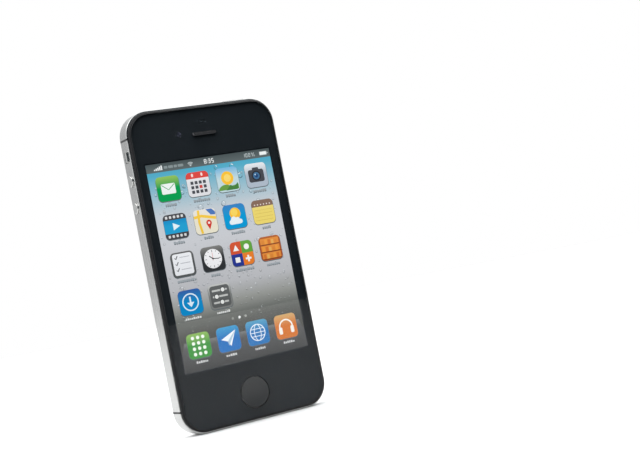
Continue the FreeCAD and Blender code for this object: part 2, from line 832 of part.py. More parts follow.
jack = new_body("headphone_jack", x=D.jack_side)
jack_floor = D.case_height - D.rim_play - D.jack_depth
jack_top = D.case_height - D.rim_play
jack_block_wide, jack_block_deep, jack_floor_thick = 6.4, 4.6, 0.8
pad(jack, "XY_Plane", jack_floor - jack_floor_thick,
    inner_top - jack_floor + jack_floor_thick - D.rim_play,
    rounded(jack_block_wide, jack_block_deep, 1.2))
pad(jack, "XY_Plane", inner_top - D.rim_play, jack_top - inner_top + D.rim_play, disc(D.jack_collar))
pocket(jack, "XY_Plane", jack_top, D.jack_depth, disc(D.jack_bore))

shaft_left = D.motor_left + 1.0
shaft_length = 13.6
motor_y = board_back - 0.8
motor = new_body("vibrator_motor", y=motor_y, z=D.motor_height)
pad(motor, "YZ_Plane", D.motor_left, D.motor_length, disc(D.motor_radius))
pocket(motor, "YZ_Plane", D.motor_left + D.motor_length, D.motor_length - 0.9,
       disc(D.shaft_radius + D.shaft_play))
keep(rod("vibrator_shaft", "X", D.shaft_radius, shaft_length, shaft_left, motor_y,
         D.motor_height), "vibrator_shaft")
weight = new_body("vibrator_weight", x=D.motor_left + D.motor_length + 0.8, y=motor_y,
                  z=D.motor_height)
pad(weight, "YZ_Plane", 0, D.weight_length, disc(D.motor_radius - 0.2))
pocket(weight, "YZ_Plane", 0, D.weight_length,
       rectangle(-D.motor_radius - 1, D.motor_radius + 1, D.shaft_radius + 0.5, D.motor_radius + 1),
       reverse=True)
pocket(weight, "YZ_Plane", 0, D.weight_length, disc(D.shaft_radius), reverse=True)

# ---------------------------------------------------------------- back camera and flash

housing_back = 3.0
bore_front = 1.6
housing = new_body("camera_housing", y=battery_front)
pad(housing, "XZ_Plane", 0, housing_back - battery_front,
    rounded(D.camera_block, D.camera_block, 0.6, D.camera_side, D.camera_height), reverse=True)
pocket(housing, "XZ_Plane", battery_front - housing_back, housing_back - bore_front,
       disc(D.barrel_radius + D.shaft_play, D.camera_side, D.camera_height), reverse=True)
barrel_back = half_depth - D.glass_thick - 0.3
barrel = new_body("lens_barrel", x=D.camera_side, y=bore_front + D.play, z=D.camera_height)
barrel_length = barrel_back - bore_front - D.play
pad(barrel, "XZ_Plane", 0, barrel_length, disc(D.barrel_radius), reverse=True)
lens_depth = 0.8
pocket(barrel, "XZ_Plane", -barrel_length, lens_depth, disc(D.lens_radius), reverse=True)
keep(rod("camera_lens", "Y", D.lens_radius, lens_depth - 0.15, D.camera_side,
         barrel_back - lens_depth, D.camera_height), "camera_lens")
trim_front = half_depth - D.glass_thick
slab("camera_trim", trim_front, D.glass_thick - 0.02,
     disc(D.camera_window + D.camera_trim, D.camera_side, D.camera_height),
     disc(D.camera_window, D.camera_side, D.camera_height))
keep(rod("camera_window", "Y", D.camera_window, D.glass_thick - 0.15, D.camera_side,
         trim_front + 0.05, D.camera_height), "camera_window")
keep(rod("flash_window", "Y", D.flash_radius, D.glass_thick, D.flash_side, trim_front,
         D.camera_height), "flash_window")
half_led = D.led_size / 2
keep(box("flash_led", D.flash_side - half_led, D.flash_side + half_led, trim_front - 0.9,
         trim_front, D.camera_height - half_led, D.camera_height + half_led), "flash_led")

# ---------------------------------------------------------------- battery and logic board

battery_back = battery_front + D.battery_thick
battery_middle = (D.battery_left + D.battery_right) / 2
battery_level = (D.battery_bottom + D.battery_top) / 2
slab("battery", battery_front, D.battery_thick,
     rounded(D.battery_right - D.battery_left, D.battery_top - D.battery_bottom,
             1.2, battery_middle, battery_level))
slab("logic_board", D.board_front, D.board_thick,
     rectangle(D.board_left, D.board_right, 20.0, 98.2),
     *[disc(D.screw_radius + 0.15, x, z) for x, z in stand_offs])
screws = []
for x, z in stand_offs:
    screws.append(fused("board_screw", [
        rod("board_screw_head", "Y", D.screw_head_radius, 0.5, x, board_back, z),
        rod("board_screw_shank", "Y", D.screw_radius, 2.0, x, board_back - 2.0, z)]))
group("board_screws", screws)

# Each can and chip is given by its left, right, lower and upper edge on the board.
for label, (x0, x1, z0, z1) in (("upper_shield", (7.4, 26.6, 60.0, 93.0)),
                                ("lower_shield", (10.0, 24.0, 26.4, 56.0))):
    can = slab(label, board_back, D.shield_height,
               rounded(x1 - x0, z1 - z0, 0.5, (x0 + x1) / 2, (z0 + z1) / 2))
    pocket(can, "XZ_Plane", 0, D.shield_height - D.shield_wall,
           rectangle(x0 + D.shield_wall, x1 - D.shield_wall, z0 + D.shield_wall,
                     z1 - D.shield_wall))
for label, front, back, (x0, x1, z0, z1) in (
        ("main_chip", D.board_front - 1.3, D.board_front, (9, 23, 75, 89)),
        ("memory_chip", board_back, board_back + 0.9, (10, 22, 64, 78)),
        ("battery_connector", board_back, board_back + 1.2, (6.6, 9.6, 36, 42))):
    keep(box(label, x0, x1, front, back, z0, z1), label)

# ---------------------------------------------------------------- bottom: dock socket, speaker, mike

dock_top = D.band_wall + 8.2
dock = new_body("dock_connector")
shell_deep = D.dock_gap + 0.6
pad(dock, "XY_Plane", D.band_wall + D.rim_play, dock_top - D.band_wall - D.rim_play,
    rounded(D.dock_width + 3.4, shell_deep, 0.3))
nose_low = 0.15
pad(dock, "XY_Plane", nose_low, D.band_wall - 0.1, rounded(nose_wide, nose_deep, 0.45))
pocket(dock, "XY_Plane", nose_low, D.dock_depth,
       rounded(D.dock_width, D.dock_gap, 0.3), reverse=True)
contacts = []
contact_low = 2.4
for number in range(int(D.contact_count.value)):
    side = (number - (D.contact_count - 1) / 2) * D.contact_pitch
    contacts.append(box("dock_contact", side - D.contact_width / 2, side + D.contact_width / 2,
                        D.dock_gap / 2 - D.contact_thick, D.dock_gap / 2, contact_low,
                        D.dock_depth))
group("dock_contacts", contacts)
shell_back = shell_deep / 2
# The socket's cable runs up its back, slopes over to the board and lies on it.
slope_low, slope_high, slope_lift = 12.0, 17.0, 0.06
strip("dock_flex", 6.8, 12.0, [
    (shell_back, 3.0), (shell_back + flex_thick, 3.0),
    (shell_back + flex_thick, slope_low), (board_back + flex_thick, slope_high),
    (board_back + flex_thick, 25.0), (board_back, 25.0),
    (board_back, slope_high + slope_lift), (shell_back, slope_low + slope_lift)])

speaker = new_body("speaker_box", y=battery_front)
speaker_wide, speaker_tall, speaker_corner = 9.4, 14.4, 3.4
speaker_side, speaker_height = 20.9, 10.7
pad(speaker, "XZ_Plane", 0, battery_back - battery_front,
    rounded(speaker_wide, speaker_tall, speaker_corner, speaker_side, speaker_height),
    reverse=True)
keep(box("microphone", -D.port_side - 2, -D.port_side + 2, battery_front, 1.25, 2.2, 3.6),
     "microphone")
meshes = []
mesh_low, mesh_high = 0.5, 0.75
mesh_radius = D.port_width / 2 - 0.05
straight = D.port_length / 2 - 1
for side in (-1, 1):
    x = side * D.port_side
    grille = box("port_mesh_plate", x - straight, x + straight, -mesh_radius, mesh_radius,
                 mesh_low, mesh_high)
    ends = [rod("port_mesh_end", "Z", mesh_radius, mesh_high - mesh_low,
                x + end * (D.port_length - D.port_width) / 2, 0, mesh_low) for end in (-1, 1)]
    meshes.append(fused("port_mesh", [grille] + ends))
group("port_meshes", meshes)

# ---------------------------------------------------------------- card tray on the right edge

tray_front = D.tray_middle - D.tray_thick / 2
tray_back = D.tray_middle + D.tray_thick / 2
tray = new_body("sim_tray")
pad(tray, "YZ_Plane", inner_side, D.band_wall, door_outline(0, D.tray_middle))
pad(tray, "XZ_Plane", -tray_front, tray_back - tray_front,
    rectangle(D.tray_inner, inner_side, D.tray_height - D.tray_half,
              D.tray_height + D.tray_half), reverse=True)
card_right = D.card_left + D.card_length
card_low = D.tray_height - D.card_width / 2
card_high = D.tray_height + D.card_width / 2
pocket(tray, "XZ_Plane", -tray_back, D.card_thick + D.card_play,
       rectangle(D.card_left - D.card_play, card_right + D.card_play,
                 card_low - D.card_play, card_high + D.card_play), reverse=True)
push_level = D.tray_height + D.push_above_tray
pocket(tray, "YZ_Plane", half_width, D.band_wall, disc(D.pin_hole, D.tray_middle, push_level))
card = new_body("sim_card", y=tray_back - D.card_play - D.card_thick)
pad(card, "XZ_Plane", 0, D.card_thick,
    outline([(D.card_left, card_low), (card_right, card_low), (card_right, card_high),
             (D.card_left + D.card_corner, card_high),
             (D.card_left, card_high - D.card_corner)]), reverse=True)

# The card socket: floor and roof, a rail on each side of the tray, the lever's pin and the
# push rod's guide.
shell_low = D.tray_height - 7.3
shell_high = D.tray_height + 10.0
rail_wide = 0.45
rail_above = D.tray_height + 6.85
floor_back = tray_front - D.play
roof_front = tray_back + D.play
floor_left = D.lever_side - 1.5
lever_pivot = D.tray_height + D.pivot_above_tray
connector_mouth = inner_side - 0.5
guide_left, guide_low = 20.0, D.tray_height + 7.6
guide_play = 0.06
guide = cut("sim_guide", box("sim_guide_block", guide_left, connector_mouth, floor_back,
                             roof_front, guide_low, shell_high),
            rod("sim_guide_hole", "X", D.pin_hole + guide_play, 8.0, guide_left - D.play,
                D.tray_middle, push_level))
keep(fused("sim_connector", [
    box("sim_floor", floor_left, connector_mouth, plate_back + D.rim_play, floor_back,
        shell_low, shell_high),
    box("sim_roof", D.tray_inner, connector_mouth, roof_front, D.board_front, shell_low,
        shell_high),
    box("sim_wall_low", D.tray_inner, connector_mouth, floor_back, roof_front, shell_low,
        shell_low + rail_wide),
    box("sim_wall_high", D.tray_inner, connector_mouth, floor_back, roof_front,
        rail_above, rail_above + rail_wide),
    rod("sim_pivot_pin", "Y", D.screw_radius, D.board_front - floor_back, D.lever_side,
        floor_back, lever_pivot),
    guide]), "sim_connector")

lever = new_body("eject_lever", y=tray_front)
half_lever = D.lever_width / 2
pad(lever, "XZ_Plane", 0, D.tray_thick,
    rectangle(D.lever_side - half_lever, D.lever_side + half_lever, D.tray_height - 3.4,
              D.tray_height + 9.1), reverse=True)
pad(lever, "XZ_Plane", 0, D.tray_thick, disc(D.lever_boss, D.lever_side, lever_pivot),
    reverse=True)
pocket(lever, "XZ_Plane", 0, D.tray_thick,
       disc(D.screw_radius + D.shaft_play, D.lever_side, lever_pivot))
rod_inner = D.lever_side + half_lever + 0.15
keep(rod("push_rod", "X", D.pin_hole, connector_mouth - rod_inner, rod_inner, D.tray_middle,
         push_level), "push_rod")

# ---------------------------------------------------------------- check and write


def failed(item):
    return any(word in item.State for word in ("Invalid", "Error"))


doc.recompute()
problems = [item.Name + " did not compute" for item in doc.Objects if failed(item)]
for item in doc.Objects:
    if item.TypeId in ("PartDesign::Pocket", "PartDesign::Groove"):
        if item.Shape.Volume > item.BaseFeature.Shape.Volume - 1e-6:
            problems.append(item.Name + " removes nothing")
for node in NODES:
    if node.Shape.isNull() or not node.Shape.isValid():
        problems.append(node.Label + " has no valid shape")
if problems:
    raise RuntimeError("; ".join(problems))

os.makedirs("parts", exist_ok=True)
for node in NODES:
    node.Shape.exportStep("parts/%s.step" % node.Label)
print(len(NODES), "sub-parts written")
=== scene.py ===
import math
import random

import bmesh
import bpy
from mathutils import Matrix, Vector


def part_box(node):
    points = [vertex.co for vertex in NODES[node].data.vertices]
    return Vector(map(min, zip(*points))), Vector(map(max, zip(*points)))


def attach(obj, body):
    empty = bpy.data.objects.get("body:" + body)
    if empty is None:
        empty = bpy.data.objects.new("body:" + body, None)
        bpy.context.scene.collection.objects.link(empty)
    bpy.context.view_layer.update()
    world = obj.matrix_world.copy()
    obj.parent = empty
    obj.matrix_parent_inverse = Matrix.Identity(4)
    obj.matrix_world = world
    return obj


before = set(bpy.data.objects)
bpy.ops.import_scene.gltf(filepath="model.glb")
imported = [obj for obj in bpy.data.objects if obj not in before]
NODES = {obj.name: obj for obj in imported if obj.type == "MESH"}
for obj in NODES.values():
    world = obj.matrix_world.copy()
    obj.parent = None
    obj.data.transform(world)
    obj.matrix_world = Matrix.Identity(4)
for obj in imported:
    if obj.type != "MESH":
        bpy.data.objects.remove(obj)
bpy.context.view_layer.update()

# Looks of a touch-screen pocket handheld. Metres, in the CAD frame: the screen faces -Y.
MM = 0.001


# ------------------------------------------------------------------ node helpers

def linear(color):
    """A colour from 0-255 screen values to the renderer's linear values."""
    def channel(value):
        value /= 255
        return value / 12.92 if value <= 0.04045 else ((value + 0.055) / 1.055) ** 2.4
    return tuple(channel(value) for value in color) + (1.0,)


def add_node(tree, kind, **inputs):
    """A new node; each input is a plain value, or another node's output to link."""
    node = tree.nodes.new(kind)
    for socket, value in inputs.items():
        target = node.inputs[socket.replace("_", " ")]
        if isinstance(value, bpy.types.NodeSocket):
            tree.links.new(value, target)
        else:
            target.default_value = value
    return node


def add_ramp(tree, factor, *stops):
    """Colour or value ramp; each stop is (position, linear colour or number)."""
    node = add_node(tree, "ShaderNodeValToRGB", Fac=factor)
    elements = node.color_ramp.elements
    while len(elements) < len(stops):
        elements.new(0.5)
    for element, (position, value) in zip(elements, stops):
        element.position = position
        element.color = value if isinstance(value, tuple) else (value, value, value, 1.0)
    return node.outputs["Color"]


class Shader:
    """A new node material with a Principled BSDF, and short calls to wire its inputs."""

    def __init__(self, name, **values):
        self.material = bpy.data.materials.new(name)
        self.material.use_nodes = True
        self.tree = self.material.node_tree
        self.main = self.tree.nodes["Principled BSDF"]
        for socket, value in values.items():
            self.main.inputs[socket.replace("_", " ")].default_value = value

    def node(self, kind, **inputs):
        return add_node(self.tree, kind, **inputs)

    def place(self, stretch=(1, 1, 1), source="Object"):
        """Texture coordinates stretched along each axis: metres, or 0 to 1 if Generated."""
        coordinates = self.tree.nodes.new("ShaderNodeTexCoord")
        return self.node("ShaderNodeMapping", Vector=coordinates.outputs[source],
                         Scale=stretch).outputs["Vector"]

    def noise(self, where, scale, detail=3.0, rough=0.55):
        return self.node("ShaderNodeTexNoise", Vector=where, Scale=scale, Detail=detail,
                         Roughness=rough).outputs["Fac"]

    def ramp(self, factor, *stops):
        return add_ramp(self.tree, factor, *stops)

    def drive(self, socket, output):
        self.tree.links.new(output, self.main.inputs[socket])

    def bump(self, height, distance, strength=1.0):
        node = self.node("ShaderNodeBump", Height=height, Distance=distance, Strength=strength)
        self.drive("Normal", node.outputs["Normal"])


def shade(color, spread):
    """Dark and light version of a linear colour."""
    return (tuple(value * (1 - spread) for value in color) + (1.0,),
            tuple(min(1.0, value * (1 + spread)) for value in color) + (1.0,))


# ------------------------------------------------------------------ materials

def brushed_metal(name, color, rough, grain, spread=0.10):
    """Metal with fine scratches drawn out along one axis; grain is the stretch per axis."""
    made = Shader(name, Metallic=1.0)
    lines = made.noise(made.place(grain), 1.0, 6.0, 0.7)
    cloud = made.noise(made.place((60, 60, 60)), 1.0, 2.0)
    dark, light = shade(color, spread)
    made.drive("Base Color", made.ramp(lines, (0.3, dark), (0.7, light)))
    mixed = made.node("ShaderNodeMix", Factor=0.35)
    made.tree.links.new(lines, mixed.inputs[2])
    made.tree.links.new(cloud, mixed.inputs[3])
    made.drive("Roughness", made.ramp(mixed.outputs[0], (0.3, rough * 0.75), (0.7, rough * 1.3)))
    made.bump(lines, SCRATCH_DEPTH, 0.5)
    return made.material


# Sizes of textures, in metres, and how many pitches one wave of the wave texture spans.
PORE_SIZE = 0.00005
SCRATCH_DEPTH = 2e-6
WAVE_SPAN = 3.14


def moulded_plastic(name, color, rough, specular=0.5):
    """Moulded plastic: faint pore texture, slightly uneven sheen."""
    made = Shader(name, Specular_IOR_Level=specular)
    where = made.place()
    fine = made.noise(where, 1 / PORE_SIZE, 2.0)
    broad = made.noise(where, 120, 3.0)
    dark, light = shade(color, 0.15)
    made.drive("Base Color", made.ramp(broad, (0.3, dark), (0.7, light)))
    made.drive("Roughness", made.ramp(broad, (0.25, rough * 0.85), (0.75, rough * 1.15)))
    made.bump(fine, PORE_SIZE * 0.12, 0.6)
    return made.material


def clear_glass(name, tint, ior=1.5):
    """Polished clear glass with a very faint tint that varies across the pane."""
    made = Shader(name, Transmission_Weight=1.0, Roughness=0.0, IOR=ior)
    cloud = made.noise(made.place(), 25, 2.0)
    dark, light = shade(tint, 0.01)
    made.drive("Base Color", made.ramp(cloud, (0.3, dark), (0.7, light)))
    return made.material


def black_gloss(name, color, rough, specular=0.5):
    """Opaque black glass or lacquer with faint wipe marks in its polish."""
    made = Shader(name, Specular_IOR_Level=specular)
    smears = made.noise(made.place((90, 90, 30)), 1.0, 4.0, 0.6)
    dark, light = shade(color, 0.12)
    made.drive("Base Color", made.ramp(smears, (0.3, dark), (0.7, light)))
    made.drive("Roughness", made.ramp(smears, (0.35, rough), (0.75, rough * 1.5)))
    return made.material


def woven_mesh(name, color, pitch):
    """Fine woven wire: raised threads across each other, with painted shade in the gaps between
    them.
    """
    made = Shader(name, Metallic=0.9, Roughness=0.45)
    where = made.place()
    bands = []
    for direction in ("X", "Z"):
        wave = made.node("ShaderNodeTexWave", Vector=where, Scale=1 / pitch / WAVE_SPAN)
        wave.bands_direction = direction
        bands.append(wave.outputs["Fac"])
    weave = made.node("ShaderNodeMath")
    weave.operation = "MAXIMUM"
    made.tree.links.new(bands[0], weave.inputs[0])
    made.tree.links.new(bands[1], weave.inputs[1])
    # The dark end of this ramp is painted shade in the gaps between the threads; the light end is
    # the wire's own tone.
    dark, light = shade(color, 0.8)
    made.drive("Base Color", made.ramp(weave.outputs["Value"], (0.35, dark), (0.8, light)))
    made.bump(weave.outputs["Value"], pitch * 0.4, 0.8)
    return made.material


def circuit_board(name):
    """Dark solder mask with lighter copper tracks showing through."""
    made = Shader(name, Roughness=0.4)
    where = made.place()
    brick = made.node("ShaderNodeTexBrick", Vector=where, Scale=420.0, Mortar_Size=0.08)
    pads = made.node("ShaderNodeTexVoronoi", Vector=where, Scale=900.0)
    tracks = made.ramp(brick.outputs["Fac"], (0.4, (0.004, 0.02, 0.035, 1)),
                       (0.6, (0.01, 0.06, 0.09, 1)))
    mixed = made.node("ShaderNodeMix")
    mixed.data_type = "RGBA"
    made.tree.links.new(made.ramp(pads.outputs["Distance"], (0.12, 1.0), (0.16, 0.0)),
                        mixed.inputs[0])
    made.tree.links.new(tracks, mixed.inputs[6])
    mixed.inputs[7].default_value = (0.55, 0.42, 0.18, 1)
    made.drive("Base Color", mixed.outputs[2])
    made.bump(brick.outputs["Fac"], 2e-5, 0.5)
    return made.material


def frosted(name, color):
    """Frosted diffuser with fine rings like a small moulded lens."""
    made = Shader(name, Roughness=0.35, Subsurface_Weight=0.2, Subsurface_Radius=(4e-4,) * 3)
    cells = made.node("ShaderNodeTexVoronoi", Vector=made.place(), Scale=3500.0)
    dark, light = shade(color, 0.12)
    made.drive("Base Color", made.ramp(cells.outputs["Distance"], (0.1, light), (0.7, dark)))
    made.bump(cells.outputs["Distance"], 4e-5, 0.6)
    return made.material


STEEL = (0.42, 0.42, 0.415)
ALONG_Z = (9000, 9000, 260)
ALONG_X = (260, 9000, 9000)
side_steel = brushed_metal("side_band_steel", STEEL, 0.24, ALONG_Z)
end_steel = brushed_metal("end_band_steel", STEEL, 0.24, ALONG_X)
button_steel = brushed_metal("button_steel", (0.5, 0.5, 0.49), 0.16, (3000, 3000, 3000), 0.05)
inner_steel = brushed_metal("inner_steel", (0.45, 0.45, 0.44), 0.38, (1500, 3000, 3000))
tinned_steel = brushed_metal("tinned_steel", (0.5, 0.5, 0.48), 0.3, (900, 900, 900))
gold = brushed_metal("gold_plate", (0.75, 0.55, 0.22), 0.25, (2000, 2000, 400))
dark_anodised = brushed_metal("dark_anodised", (0.20, 0.20, 0.205), 0.3, (3000, 3000, 3000))
rim_plastic = moulded_plastic("rim_plastic", (0.005, 0.005, 0.006), 0.5, specular=0.2)
gap_plastic = moulded_plastic("gap_plastic", (0.006, 0.006, 0.007), 0.5)
dark_plastic = moulded_plastic("dark_plastic", (0.02, 0.02, 0.022), 0.45)
pale_plastic = moulded_plastic("pale_plastic", (0.44, 0.44, 0.42), 0.45)
amber_film = moulded_plastic("amber_film", (0.35, 0.14, 0.03), 0.3)
soft_rubber = moulded_plastic("soft_rubber", (0.03, 0.03, 0.03), 0.75)
battery_wrap = black_gloss("battery_wrap", (0.03, 0.03, 0.032), 0.35)
mask_black = black_gloss("mask_print", (0.0210, 0.0320, 0.0430), 0.5)
back_black = black_gloss("back_glass_black", (0.005, 0.006, 0.007), 0.04, specular=0.25)
home_black = black_gloss("home_button_black", (0.016, 0.017, 0.018), 0.33)
# The imported corner normals are askew in the middle of the dish: light it by its faces.
dish_faces = add_node(home_black.node_tree, "ShaderNodeNewGeometry").outputs["True Normal"]
home_black.node_tree.links.new(dish_faces,
                               home_black.node_tree.nodes["Principled BSDF"].inputs["Normal"])
sensor_dark = black_gloss("sensor_dark", (0.009, 0.012, 0.015), 0.5, specular=0.1)
glass_edge = black_gloss("glass_edge_black", (0.008, 0.010, 0.012), 0.3, specular=0.3)
front_clear = clear_glass("front_glass_clear", (0.985, 0.99, 0.995), 1.3)
lens_clear = clear_glass("lens_clear", (0.62, 0.68, 0.86), 1.2)
lens_dark = black_gloss("lens_dark", (0.022, 0.022, 0.034), 0.08, specular=0.3)
# Grey of the ear mesh: its own dark tone, set darker still as painted shade from the slot around
# it.
ear_mesh = woven_mesh("ear_mesh", (0.09, 0.09, 0.095), 0.00016)
port_mesh = woven_mesh("port_mesh", (0.05, 0.05, 0.052), 0.00022)
flash_cover = frosted("flash_cover", (0.72, 0.70, 0.58))
led_yellow = frosted("led_phosphor", (0.65, 0.55, 0.12))

NODE_MATERIALS = {
    side_steel: ("band_left", "band_right", "sim_tray"),
    end_steel: ("band_top", "band_bottom"),
    button_steel: ("volume_up_button", "volume_down_button", "mute_lever", "power_button",
                   "case_screws"),
    inner_steel: ("mid_plate", "volume_switches", "home_switch", "power_switch", "eject_lever",
                  "push_rod", "board_screws", "vibrator_shaft"),
    tinned_steel: ("upper_shield", "lower_shield", "sim_connector", "vibrator_motor",
                   "dock_connector", "vibrator_weight"),
    gold: ("dock_contacts", "microphone"),
    dark_anodised: ("camera_trim",),
    rim_plastic: ("front_rim", "back_rim"),
    gap_plastic: ("antenna_gap_inserts", "headphone_jack"),
    dark_plastic: ("mute_switch", "front_camera", "camera_housing", "lens_barrel", "speaker_box",
                   "main_chip", "memory_chip", "battery_connector", "earpiece_speaker"),
    pale_plastic: ("sim_card",),
    amber_film: ("display_flex", "dock_flex"),
    soft_rubber: ("home_plunger",),
    battery_wrap: ("battery",),
    mask_black: ("border_film", "lcd_panel"),
    back_black: ("back_glass",),
    home_black: ("home_button",),
    front_clear: ("front_glass",),
    lens_clear: ("camera_window", "touch_sensor"),
    lens_dark: ("front_camera_lens", "camera_lens"),
    sensor_dark: ("light_sensor",),
    ear_mesh: ("earpiece_mesh",),
    port_mesh: ("port_meshes",),
    flash_cover: ("flash_window",),
    led_yellow: ("flash_led",),
    circuit_board("board_mask"): ("logic_board",),
}
for material, names in NODE_MATERIALS.items():
    for name in names:
        NODES[name].data.materials.clear()
        NODES[name].data.materials.append(material)
# Clear panes let the light through to what lies behind them.
for name in ("front_glass", "camera_window", "touch_sensor"):
    NODES[name].visible_shadow = False
# The narrow edge faces of the front glass are black: all faces that don't look along Y.
FLAT_FACE = 0.999
pane = NODES["front_glass"].data
pane.materials.append(glass_edge)
for polygon in pane.polygons:
    polygon.material_index = int(abs(polygon.normal.y) < FLAT_FACE)


# ------------------------------------------------------------------ the lit display

PANEL_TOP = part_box("lcd_panel")[1].z
PANEL_MARGIN = 1.0 * MM
GLASS_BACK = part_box("front_glass")[1].y
POINTS_WIDE = 320
POINTS_TALL = 480
SCREEN_WIDTH = 49.3 * MM
POINT = SCREEN_WIDTH / POINTS_WIDE
SCREEN_TOP = PANEL_TOP - PANEL_MARGIN
SCREEN_LEFT = -SCREEN_WIDTH / 2
# Pictures are stacks of thin plates in the gap between the touch sensor and the glass.
PICTURE_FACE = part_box("touch_sensor")[0].y
LEVELS = 9
LEVEL = (PICTURE_FACE - GLASS_BACK) / LEVELS
PLATE_THICKNESS = 0.8


def lit(name, *stops, speckle=0.0):
    """Lit picture area: colour stops from the bottom (0) to the top (1) of its own piece."""
    made = Shader(name, Base_Color=(0, 0, 0, 1), Roughness=0.6, Specular_IOR_Level=0.0,
                  Emission_Strength=1.0)
    height = made.node("ShaderNodeSeparateXYZ", Vector=made.place(source="Generated"))
    stops = [(position, linear(color)) for position, color in stops]
    factor = height.outputs["Z"]
    if speckle:
        wobble = made.node("ShaderNodeMath")
        wobble.operation = "MULTIPLY_ADD"
        grain = made.noise(made.place(), 2600, 2.0)
        made.tree.links.new(grain, wobble.inputs[0])
        wobble.inputs[1].default_value = speckle
        made.tree.links.new(factor, wobble.inputs[2])
        factor = wobble.outputs["Value"]
    made.drive("Emission Color", made.ramp(factor, *stops))
    return made.material


PAINTS = {}


def paint(color):
    """A nearly even lit colour, a little lighter upwards, shared by all that use it."""
    if color not in PAINTS:
        name = "lit_%02x%02x%02x" % color
        lighter = tuple(min(255, value + 10) for value in color)
        PAINTS[color] = lit(name, (0.0, color), (1.0, lighter))
    return PAINTS[color]


def circle(x, y, radius, tall=None, start=0.0, turn=360.0, steps=28):
    """Points of an ellipse or of part of one, in screen points, y downwards."""
    tall = radius if tall is None else tall
    whole = abs(turn) >= 360
    count = steps if whole else steps + 1
    angles = [math.radians(start + turn * index / steps) for index in range(count)]
    return [(x + radius * math.cos(a), y + tall * math.sin(a)) for a in angles]


def rounded(x, y, wide, tall, radius, corners=(True, True, True, True), steps=6):
    """Rectangle with round corners: top left, top right, bottom right, bottom left."""
    centres = ((x + radius, y + radius, 180), (x + wide - radius, y + radius, 270),
               (x + wide - radius, y + tall - radius, 0), (x + radius, y + tall - radius, 90))
    sharp = ((x, y), (x + wide, y), (x + wide, y + tall), (x, y + tall))
    points = []
    for (cx, cy, start), corner, is_round in zip(centres, sharp, corners):
        if is_round:
            points += circle(cx, cy, radius, start=start, turn=90, steps=steps)
        else:
            points.append(corner)
    return points


def box_points(x, y, wide, tall):
    """Rectangle with sharp corners."""
    return [(x, y), (x + wide, y), (x + wide, y + tall), (x, y + tall)]


class Picture:
    """One piece of the screen picture: thin closed plates stacked on the display.

    Positions are in screen points from origin, y downwards; a level is a step of depth."""

    def __init__(self, name, x=0.0, y=0.0):
        self.name = name
        self.origin = (x, y)
        self.mesh = bmesh.new()
        self.materials = []

    def corner(self, point, level):
        x = SCREEN_LEFT + (self.origin[0] + point[0]) * POINT
        z = SCREEN_TOP - (self.origin[1] + point[1]) * POINT
        return Vector((x, PICTURE_FACE - level * LEVEL, z))

    def index(self, material):
        if material not in self.materials:
            self.materials.append(material)
        return self.materials.index(material)

    def plate(self, points, material, level):
        """Closed prism over the outline, with its front face at the level."""
        slot = self.index(material)
        front = [self.mesh.verts.new(self.corner(point, level)) for point in points]
        back = [self.mesh.verts.new(self.corner(point, level - PLATE_THICKNESS))
                for point in points]
        faces = [self.mesh.faces.new(front), self.mesh.faces.new(list(reversed(back)))]
        for here, there in zip(range(len(points)), [*range(1, len(points)), 0]):
            faces.append(self.mesh.faces.new((front[there], front[here], back[here], back[there])))
        for face in faces:
            face.material_index = slot
        return self

    def stroke(self, points, width, material, level, closed=False):
        """Thick line along the points: one prism, or a ring of prisms if closed."""
        count = len(points)
        left, right = [], []
        for number, (x, y) in enumerate(points):
            before = points[number - 1] if closed or number else points[number]
            after = points[(number + 1) % count] if closed or number < count - 1 else points[number]
            dx, dy = after[0] - before[0], after[1] - before[1]
            size = math.hypot(dx, dy) or 1.0
            side = (-dy / size * width / 2, dx / size * width / 2)
            left.append((x + side[0], y + side[1]))
            right.append((x - side[0], y - side[1]))
        if not closed:
            return self.plate(left + right[::-1], material, level)
        for number in range(count):
            after = (number + 1) % count
            self.plate([left[number], left[after], right[after], right[number]], material, level)
        return self

    def done(self):
        bmesh.ops.recalc_face_normals(self.mesh, faces=self.mesh.faces)
        data = bpy.data.meshes.new(self.name)
        self.mesh.to_mesh(data)
        self.mesh.free()
        for material in self.materials:
            data.materials.append(material)
        piece = bpy.data.objects.new(self.name, data)
        bpy.context.scene.collection.objects.link(piece)
        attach(piece, "handset")
        piece.visible_shadow = False
        return piece


# ---- wallpaper with rain drops

WALLPAPER = ((0.0, (62, 61, 58)), (0.17, (78, 79, 76)), (0.25, (112, 115, 111)),
             (0.31, (150, 152, 148)), (0.40, (186, 187, 191)), (0.62, (204, 206, 211)),
             (0.76, (198, 206, 213)), (0.85, (156, 193, 208)), (0.95, (86, 174, 202)),
             (1.0, (74, 166, 196)))
wallpaper = lit("lit_wallpaper", *WALLPAPER, speckle=0.02)
Picture("screen_wallpaper").plate(box_points(0, 0, POINTS_WIDE, POINTS_TALL), wallpaper, 1).done()

